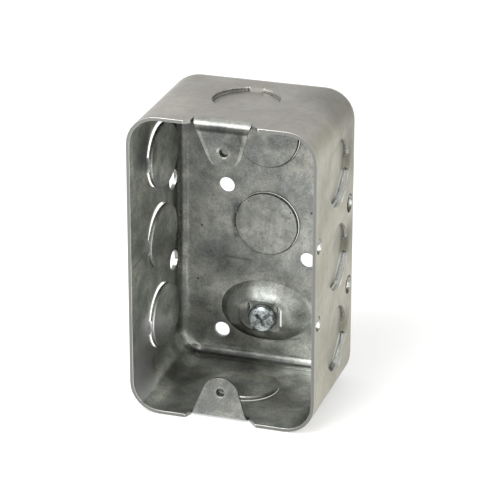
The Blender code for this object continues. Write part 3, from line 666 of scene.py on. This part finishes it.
def dark_marks(nodes, place, inside, bend):
    """Specks and dust, scratches with painted shade strokes, and the painted shadow lines round the
    knockouts.
    """
    marks = nodes.math("MULTIPLY", speck_marks(nodes, place), inside)
    dots = nodes.math("MAXIMUM", nodes.specks(place, 210.0, 0.070, 0.20), marks)
    dust = nodes.math("MULTIPLY", nodes.specks(place, 900.0, 0.17, 0.18), nodes.blend(bend, 0.5, 0.0))
    dirt = nodes.math("ADD", dots, dust, clamp=True)
    dirt = nodes.math("MULTIPLY", dirt, nodes.blend(inside, OUTSIDE_DIRT_SHARE, 1.0))
    scratches = nodes.joined("MULTIPLY", [strokes(nodes, place, DARK_SCRATCHES_AND_SHADE), inside, SCRATCH_AND_SHADE_STRENGTH])
    shadow_lines = nodes.math("MULTIPLY", knockout_shadow_lines(nodes, place), SHADOW_LINE_STRENGTH)
    return nodes.joined("MAXIMUM", [dirt, scratches, shadow_lines])


def cut_tone(nodes, noises, bare, tone, x, y):
    """The cut faces: a plain rim with painted shade, torn grey bands in the holes, painted lighter in the
    right side, and bright burnished ones, painted darker in the left side. Also gives the worn edges' tone,
    with the rim's painted shade.
    """
    rim_shade_level = nodes.ramp(x, -0.3 * WIDTH, 0.4 * WIDTH, LEFT_RIM_LEVEL, RIGHT_RIM_LEVEL)
    sheared = nodes.ramp(noises.shear, 0.35, 0.65)
    torn = nodes.mix(sheared, TORN_DARK, TORN_LIGHT)
    torn = nodes.scaled(torn, nodes.ramp(x, 0.40 * WIDTH, 0.47 * WIDTH, 1.0, RIGHT_CUT_LEVEL))
    at_front = nodes.ramp(y, FRONT + 0.2 * SHEET, FRONT + SHEET, 1.0, 0.0)
    torn = nodes.mix(at_front, torn, nodes.scaled(RIM, rim_shade_level))
    burnished = nodes.mix(sheared, BURNISHED_DARK, BURNISHED_LIGHT)
    burnished_shade_level = nodes.ramp(x, -0.45 * WIDTH, -0.3 * WIDTH, LEFT_BURNISHED_LEVEL, 1.0)
    burnished = nodes.scaled(burnished, burnished_shade_level)
    tone = nodes.mix(nodes.ramp(bare, 0.1, 0.4), tone, torn)
    return nodes.mix(nodes.ramp(bare, 0.6, 0.9), tone, burnished), nodes.scaled(WORN_EDGE_HIGHLIGHT, rim_shade_level)


def sheet_roughness(nodes, noises, bend, dark):
    rough = nodes.ramp(noises.clouds, 0.3, 0.7, 0.44, 0.33)
    rough = nodes.math("ADD", rough, nodes.ramp(noises.mottle, 0.4, 0.8, 0.0, 0.08))
    rough = nodes.math("SUBTRACT", rough, nodes.math("MULTIPLY", bend, 0.10))
    return nodes.math("ADD", rough, nodes.math("MULTIPLY", dark, 0.25), clamp=True)


def sheet_normal(nodes, noises, dark):
    normal = nodes.bump(noises.waves, 0.4, 0.0009)
    normal = nodes.bump(noises.mottle, 0.30, 0.00008, normal)
    normal = nodes.bump(noises.streaks, 0.25, 0.00005, normal)
    normal = nodes.bump(noises.grain, 0.30, 0.00002, normal)
    return nodes.bump(dark, -0.5, 0.00008, normal)


def galvanised_steel():
    """Dull zinc on drawn sheet: mottled grey, drawing streaks, dark specks, brighter cut edges, with
    painted light, shade and reflections laid on by place.
    """
    material, nodes, shader, place = new_material("galvanised_steel")
    x, y, z = nodes.split(place)
    outer, bare, worn_highlit, margin, ear = (nodes.attribute(name) for name in MARKS)
    inside = nodes.blend(outer, 1.0, 0.0)
    noises = sheet_noises(nodes, place)
    from_side = nodes.math("SUBTRACT", WIDTH / 2, nodes.math("ABSOLUTE", x))
    from_middle = nodes.math("ABSOLUTE", nodes.math("SUBTRACT", z, LENGTH / 2))
    from_end = nodes.math("SUBTRACT", LENGTH / 2, from_middle)

    rear = nodes.ramp(y, BACK - 1.1 * BEND, BACK - 0.85 * BEND)
    nearest = nodes.math("MINIMUM", from_side, from_end)
    bend = nodes.math("MULTIPLY", rear, nodes.ramp(nearest, 0.9 * BEND, 1.15 * BEND, 1.0, 0.0))
    # painted light and shade on the inner walls, in the rear bends and on the boss's crown
    level = nodes.joined("MULTIPLY", [
        wall_painted_light(nodes, x, y, z),
        nodes.blend(rear, 1.0, side_bend_painted_shade(nodes, from_side, z)),
        nodes.blend(rear, 1.0, end_bend_painted_light(nodes, from_side, from_end, x)),
        crown_painted_shade(nodes, place, x, y, z),
    ])

    tone = inside_tone(nodes, noises, level)
    # painted light and shade on the ears
    tone = nodes.mix(ear, tone, nodes.scaled(tone, ear_painted_light(nodes, place, margin, from_end, z)))
    tone = nodes.scaled(tone, painted_light_levels(nodes, place, INNER_PAINTED_LIGHT))
    plain = nodes.scaled(outside_tone(nodes, noises, from_side), painted_light_levels(nodes, place, OUTER_PAINTED_LIGHT))
    tone = nodes.mix(outer, tone, plain)
    dark = dark_marks(nodes, place, inside, bend)
    # dirt, and painted shade and shadow lines, darken the tone
    tone = nodes.mix(nodes.math("MULTIPLY", dark, DIRT_AND_SHADE_STRENGTH), tone, DIRT_AND_SHADE)
    scraped = nodes.joined("MULTIPLY", [strokes(nodes, place, LIGHT_SCRATCHES), inside, SCRAPE_STRENGTH])
    tone = nodes.mix(scraped, tone, SCRAPED)
    tone, worn_highlight_tone = cut_tone(nodes, noises, bare, tone, x, y)
    # painted highlights on the rolled edges of the right knockouts
    tone = nodes.mix(strokes(nodes, place, PAINTED_EDGE_HIGHLIGHTS), tone, EDGE_HIGHLIGHT_TONE)
    # worn edges: wear with a painted highlight
    tone = nodes.mix(worn_highlit, tone, worn_highlight_tone)

    nodes.feed(shader.inputs["Base Color"], tone)
    shader.inputs["Metallic"].default_value = 1.0
    nodes.feed(shader.inputs["Roughness"], sheet_roughness(nodes, noises, bend, dark))
    nodes.feed(shader.inputs["Normal"], sheet_normal(nodes, noises, dark))
    return material


def zinc_screw():
    """Bright zinc plate: bluish silver with fine pits and handling marks, with painted shade in the recess
    and on the head's left side.
    """
    material, nodes, shader, place = new_material("zinc_plated_screw")
    clouds = nodes.noise(place, 700.0, 4.0, 0.6, 0.8)
    pits = nodes.noise(place, 3600.0, 3.0, 0.65)
    scuffs = nodes.noise(nodes.stretched(place, (2600.0, 300.0, 500.0)), 1.0, 3.0, 0.6)
    tone = nodes.mix(nodes.ramp(clouds, 0.35, 0.65), PLATE_DARK, PLATE_LIGHT)
    tone = nodes.mix(nodes.ramp(pits, 0.48, 0.75, 0.0, 0.4), tone, PLATE_PIT)
    tone = nodes.mix(nodes.ramp(scuffs, 0.58, 0.78, 0.0, 0.45), tone, PLATE_SCUFF)
    x = nodes.split(place)[0]
    # painted shade: the head's left side darker
    tone = nodes.scaled(tone, nodes.ramp(x, SCREW_X - 0.0042, SCREW_X + 0.0020, PLATE_LEFT_SHADE_LEVEL, 1.0))
    # painted shade in the head's recess
    recess = nodes.math("MULTIPLY", nodes.attribute("recess"), nodes.ramp(clouds, 0.35, 0.65, 0.75, 0.25))
    tone = nodes.mix(recess, tone, PLATE_RECESS_SHADE)
    nodes.feed(shader.inputs["Base Color"], tone)
    shader.inputs["Metallic"].default_value = 1.0
    nodes.feed(shader.inputs["Roughness"], nodes.ramp(clouds, 0.3, 0.7, 0.22, 0.38))
    normal = nodes.bump(clouds, 0.35, 0.00025)
    normal = nodes.bump(pits, 0.30, 0.00004, normal)
    nodes.feed(shader.inputs["Normal"], normal)
    return material


def pale_floor():
    """White studio floor: it shows white to the camera and in the metal, and keeps the object's shadow."""
    material, nodes, shader, _ = new_material("studio_floor")
    shader.inputs["Base Color"].default_value = FLOOR_TONE
    shader.inputs["Roughness"].default_value = 0.9
    shader.inputs["Specular IOR Level"].default_value = 0.1
    shader.inputs["Emission Color"].default_value = WHITE
    rays = nodes.add("ShaderNodeLightPath")
    seen = nodes.math("MAXIMUM", rays.outputs["Is Camera Ray"], rays.outputs["Is Glossy Ray"])
    nodes.feed(shader.inputs["Emission Strength"], nodes.math("MULTIPLY", seen, FLOOR_GLOW))
    return material


def smooth_faces(bm, sharp_angle):
    """Shades all faces smooth, with the edges between steeper faces kept sharp."""
    for edge in bm.edges:
        edge.smooth = not (edge.is_manifold and edge.calc_face_angle() > sharp_angle)
    for face in bm.faces:
        face.smooth = True


def clean_copy(name):
    """The CAD node's mesh with its facets joined, flat areas merged, and its real edges marked sharp."""
    bm = bmesh.new()
    bm.from_mesh(frame["nodes"][name].data)
    bmesh.ops.remove_doubles(bm, verts=bm.verts, dist=DOUBLE_DISTANCE)
    bmesh.ops.dissolve_limit(bm, angle_limit=FLAT_ANGLE, verts=bm.verts, edges=bm.edges)
    smooth_faces(bm, BOX_SHARP_ANGLE)
    return bm


def at_rim(point):
    return point.y < FRONT + RIM_TOLERANCE


def at_ear(point):
    """True for a point of the device ears and of the cuts that free them from the end walls."""
    near_end = min(point.z, LENGTH - point.z) < EAR_ZONE_HEIGHT
    near_middle = abs(point.x) < EAR_ZONE_HALF_WIDTH
    return near_end and near_middle and point.y < FRONT + EAR_ZONE_DEPTH


def round_edges(bm, chosen, width, worn_highlit, wear_highlight):
    """Rounds the sharp edges that lie wholly in a chosen area, and marks how bright they are painted, for
    wear and a painted highlight.
    """
    edges = [
        edge for edge in bm.edges
        if not edge.smooth and edge.is_manifold and all(chosen(vert.co) for vert in edge.verts)
    ]
    made = bmesh.ops.bevel(
        bm, geom=edges, offset=width, segments=ROUND_SEGMENTS, profile=0.5, affect="EDGES",
        clamp_overlap=True,
    )
    for face in made["faces"]:
        face.smooth = True
        face[worn_highlit] = wear_highlight


def outward(point):
    """Direction in which the outside of the drawn box lies nearest to a point."""
    across = Vector((abs(point.x) - WIDTH / 2 + CORNER, 0, abs(point.z - LENGTH / 2) - LENGTH / 2 + CORNER))
    if min(across.x, across.z) > 0:
        side = across.normalized()
        depth = across.length - CORNER
    else:
        side = Vector((1, 0, 0)) if across.x > across.z else Vector((0, 0, 1))
        depth = max(across.x, across.z) - CORNER
    side = Vector((math.copysign(side.x, point.x), 0, math.copysign(side.z, point.z - LENGTH / 2)))
    back = point.y - BACK + BEND
    wall = depth + BEND
    if min(back, wall) > 0:
        return (side * wall + Vector((0, back, 0))).normalized()
    return Vector((0, 1, 0)) if back > wall else side


def knockout_side(centre, normal):
    """Tells whether a cut face lies round a knockout's slug, inside its hole, or at neither."""
    middle = min((Vector(item[0]) for item in KNOCKOUTS), key=lambda item: (item - centre).length)
    if (middle - centre).length > 1.1 * KNOCKOUT_RADIUS:
        return None
    return "slug" if normal.dot(centre - middle) > 0 else "hole"


def split_cut_faces(bm, layers):
    """Parts the cut faces into bands, one burnished and the others torn, as punching leaves them.

    The punch came from the outside: a hole is burnished at its outer side, a slug at its inner side.
    """
    bare, outer = layers["bare"], layers["outer"]
    through = [
        edge for edge in bm.edges
        if edge.is_manifold and all(face[bare] > 0 for face in edge.link_faces)
        and 0.4 * SHEET < edge.calc_length() < 1.3 * SHEET
    ]
    bmesh.ops.subdivide_edges(bm, edges=through, cuts=2, use_grid_fill=True)
    cut_faces = [face for face in bm.faces if face[bare] > 0]
    burnished = set()
    for face in cut_faces:
        centre = face.calc_center_median()
        beside = [other for edge in face.edges for other in edge.link_faces if other[bare] == 0]
        side = knockout_side(centre, face.normal)
        if side == "hole" and not any(other[outer] == 0 for other in beside) and (beside or centre.x > 0):
            burnished.add(face)
        if side == "slug" and beside and all(other[outer] == 0 for other in beside):
            burnished.add(face)
    for face in cut_faces:
        face[bare] = 1.0 if face in burnished else 0.5


def is_cut(face, centre, facing):
    """True for the rim, and for a small face between sharp edges that faces neither out nor in."""
    sharp = [edge.calc_length() for edge in face.edges if not edge.smooth]
    framed = len(sharp) >= 2 and sum(sharp) > CUT_SHARP_SHARE * face.calc_perimeter()
    small = face.calc_area() < LARGEST_CUT_AREA
    return at_rim(centre) or (framed and small and abs(facing) < CUT_FACING)


def is_rolled(face, centre):
    """True for a sloping face at an ear's sides or round its tip."""
    near_tip = min(centre.z, LENGTH - centre.z) > 0.5 * EAR_LENGTH
    return abs(face.normal.x) > MARGIN_LEAN or (near_tip and abs(face.normal.z) > MARGIN_LEAN)


def mark_faces(bm):
    """Writes on each face whether it is outer skin, a cut through the sheet, ear or rolled ear margin."""
    layers = {name: bm.faces.layers.float.new(name) for name in MARKS}
    for face in bm.faces:
        centre = face.calc_center_median()
        near_ear = at_ear(centre)
        facing = face.normal.dot(Vector((0, -1, 0)) if near_ear else outward(centre))
        cut = is_cut(face, centre, facing)
        on_fold = face.normal.z * (centre.z - LENGTH / 2) > FOLD_LEAN * LENGTH
        ear = near_ear and not cut and (facing > EAR_FACING or on_fold)
        rolled = is_rolled(face, centre)
        face[layers["bare"]] = float(cut)
        face[layers["outer"]] = float(not cut and not near_ear and facing > SKIN_FACING)
        face[layers["ear"]] = float(ear)
        face[layers["margin"]] = float(ear and rolled)
    split_cut_faces(bm, layers)
    return layers


def new_object(name, bm):
    mesh = bpy.data.meshes.new(name)
    bm.to_mesh(mesh)
    bm.free()
    return bpy.data.objects.new(name, mesh)


def add_piece(name, bm, material, node):
    """A piece of the dressed part that stands in for one CAD node."""
    piece = new_object(name, bm)
    bpy.context.scene.collection.objects.link(piece)
    piece.data.materials.append(material)
    weighted = piece.modifiers.new("flat faces lead", "WEIGHTED_NORMAL")
    weighted.keep_sharp = True
    weighted.weight = 80
    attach(piece, "root")
    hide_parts(node)


def dress_box(material):
    bm = clean_copy("box_body")
    layers = mark_faces(bm)
    round_edges(bm, at_rim, RIM_ROUND, layers["worn_highlit"], RIM_WEAR_HIGHLIGHT)
    round_edges(bm, at_ear, EAR_ROUND, layers["worn_highlit"], EAR_WEAR_HIGHLIGHT)
    add_piece("steel_box", bm, material, "box_body")


def head_height(lean):
    """Height of the screw head's crown over the seat, where the crown leans by this angle."""
    return SCREW_HEAD_SIDE + (SCREW_HEAD_HEIGHT - SCREW_HEAD_SIDE) * math.cos(lean)


def screw_rows():
    """Rows of the screw from the head's top to its end: (height over the seat, radius, share of thread)."""
    rows = [(SCREW_HEAD_HEIGHT, 0.30 * SCREW_HEAD_RADIUS, 0.0)]
    for step in range(1, SCREW_HEAD_STEPS + 1):
        lean = math.pi / 2 * step / SCREW_HEAD_STEPS
        reach = SCREW_HEAD_FLAT + (1 - SCREW_HEAD_FLAT) * math.sin(lean)
        rows.append((head_height(lean), SCREW_HEAD_RADIUS * reach, 0.0))
    rows.append((SCREW_HEAD_CHAMFER, SCREW_HEAD_RADIUS, 0.0))
    rows.append((0.0, SCREW_HEAD_RADIUS - SCREW_HEAD_CHAMFER, 0.0))
    rows.append((0.0, SCREW_SHANK_RADIUS, 0.0))
    length = SCREW_END_Y - SCREW_SEAT_Y
    for step in range(1, SCREW_THREAD_STEPS + 1):
        down = length * step / SCREW_THREAD_STEPS
        taper = min(1.0, (length - down) / SCREW_TIP_LENGTH)
        thread = min(1.0, down / SCREW_THREAD_START) * taper
        rows.append((-down, SCREW_SHANK_RADIUS * (0.82 + 0.18 * taper), thread))
    rows.append((-length, 0.3 * SCREW_SHANK_RADIUS, 0.0))
    return rows


def screw_blank(place):
    """The screw before its recess is cut: rings round its axis, joined by faces."""
    bm = bmesh.new()
    rings = []
    for height, radius, thread in screw_rows():
        ring = []
        for index in range(SCREW_SEGMENTS):
            turn = index / SCREW_SEGMENTS
            phase = (height / SCREW_PITCH + turn) % 1.0
            reach = radius - SCREW_THREAD_DEPTH * thread * (1 - abs(2 * phase - 1))
            angle = 2 * math.pi * turn
            ring.append(bm.verts.new((reach * math.cos(angle), reach * math.sin(angle), height)))
        rings.append(ring)
    for upper, lower in zip(rings, rings[1:]):
        for index in range(SCREW_SEGMENTS):
            bm.faces.new((upper[index - 1], lower[index - 1], lower[index], upper[index]))
    bm.faces.new(rings[0])
    bm.faces.new(rings[-1])
    bmesh.ops.recalc_face_normals(bm, faces=bm.faces)
    bmesh.ops.transform(bm, matrix=place, verts=bm.verts)
    blank = new_object("screw_blank", bm)
    bpy.context.scene.collection.objects.link(blank)
    return blank


def recess_bars(place):
    """The bars that cut the head's recess, in a collection of their own."""
    cutters = bpy.data.collections.new("screw_recess")
    bpy.context.scene.collection.children.link(cutters)
    for length, width, depth, angle in RECESS_BARS:
        bar = bmesh.new()
        bmesh.ops.create_cube(bar, size=1.0)
        bmesh.ops.scale(bar, vec=(length, width, depth + BAR_OVERSIZE), verts=bar.verts)
        lift = SCREW_HEAD_HEIGHT + (BAR_OVERSIZE - depth) / 2
        bmesh.ops.translate(bar, vec=(0, 0, lift), verts=bar.verts)
        bmesh.ops.transform(bar, matrix=place @ Matrix.Rotation(angle, 4, "Z"), verts=bar.verts)
        cutters.objects.link(new_object("recess_bar", bar))
    return cutters


def cut_recess(blank, cutters):
    """The screw's mesh with its recess cut out. The blank and the bars are deleted."""
    cut = blank.modifiers.new("recess", "BOOLEAN")
    cut.operation = "DIFFERENCE"
    cut.operand_type = "COLLECTION"
    cut.collection = cutters
    bpy.context.view_layer.update()
    shaped = bpy.data.meshes.new_from_object(blank.evaluated_get(bpy.context.evaluated_depsgraph_get()))
    for item in [blank, *cutters.objects]:
        bpy.data.objects.remove(item, do_unlink=True)
    bpy.data.collections.remove(cutters)
    return shaped


def is_in_recess(point):
    """True for a point inside the head's slot or cross, below its crown. Heights count from the seat."""
    reach = math.hypot(point.x, point.y) / SCREW_HEAD_RADIUS
    share = (reach - SCREW_HEAD_FLAT) / (1 - SCREW_HEAD_FLAT)
    crown = head_height(math.asin(min(max(share, 0.0), 1.0)))
    return reach < RECESS_REACH and RECESS_SKIN < point.z < crown - RECESS_SKIN


def dress_screw(material):
    """Pan head with a slot and a cross recess on a threaded shank."""
    place = Matrix.Translation((SCREW_X, SCREW_SEAT_Y, SCREW_Z)) @ Matrix.Rotation(math.radians(90), 4, "X")
    place = place @ Matrix.Rotation(SCREW_TURN, 4, "Z")
    bm = bmesh.new()
    bm.from_mesh(cut_recess(screw_blank(place), recess_bars(place)))
    recess = bm.faces.layers.float.new("recess")
    for face in bm.faces:
        face[recess] = float(is_in_recess(place.inverted() @ face.calc_center_median()))
    smooth_faces(bm, SCREW_SHARP_ANGLE)
    add_piece("zinc_screw", bm, material, "ground_screw")


def add_floor():
    bm = bmesh.new()
    bmesh.ops.create_grid(bm, x_segments=1, y_segments=1, size=FLOOR_HALF_SIZE)
    floor = new_object("floor", bm)
    floor.location.z = cad_box[0].z - FLOOR_GAP
    floor.data.materials.append(pale_floor())
    bpy.context.scene.collection.objects.link(floor)


def add_area(name, location, size, energy):
    """A rectangular softbox that points at the middle of the box."""
    data = bpy.data.lights.new(name, "AREA")
    data.shape = "RECTANGLE"
    data.size, data.size_y = size
    data.energy = energy
    lamp = bpy.data.objects.new(name, data)
    lamp.location = location
    lamp.rotation_mode = "QUATERNION"
    lamp.rotation_quaternion = (Vector(location) - Vector(LIGHT_AIM)).to_track_quat("Z", "Y")
    bpy.context.scene.collection.objects.link(lamp)


def add_light():
    add_area("overhead_softbox", location=(-0.26, -0.50, 0.76), size=(0.60, 0.40), energy=7.0)
    add_area("front_fill", location=(-0.30, -0.95, 0.36), size=(0.50, 0.30), energy=3.0)
    world = bpy.data.worlds.new("studio")
    bpy.context.scene.world = world
    world.use_nodes = True
    nodes = Nodes(world.node_tree)
    shader = world.node_tree.nodes["Background"]
    rays = nodes.add("ShaderNodeLightPath")
    tone = nodes.mix(rays.outputs["Is Camera Ray"], ROOM_TONE, WHITE)
    nodes.feed(shader.inputs["Color"], tone)
    shader.inputs["Strength"].default_value = 1.0


def add_camera():
    back = Vector((
        math.sin(CAMERA_YAW) * math.cos(CAMERA_PITCH),
        -math.cos(CAMERA_YAW) * math.cos(CAMERA_PITCH),
        math.sin(CAMERA_PITCH),
    ))
    data = bpy.data.cameras.new("camera")
    data.lens = CAMERA_LENS
    data.sensor_width = CAMERA_SENSOR
    data.clip_start = 0.01
    data.clip_end = 20.0
    camera = bpy.data.objects.new("camera", data)
    turn = back.to_track_quat("Z", "Y").to_matrix().to_4x4() @ Matrix.Rotation(CAMERA_ROLL, 4, "Z")
    camera.matrix_world = Matrix.Translation(CAMERA_AIM + back * CAMERA_DISTANCE) @ turn
    bpy.context.scene.collection.objects.link(camera)
    bpy.context.scene.camera = camera


dress_box(galvanised_steel())
dress_screw(zinc_screw())
add_floor()
add_light()
add_camera()
bpy.context.scene.view_settings.view_transform = "Standard"
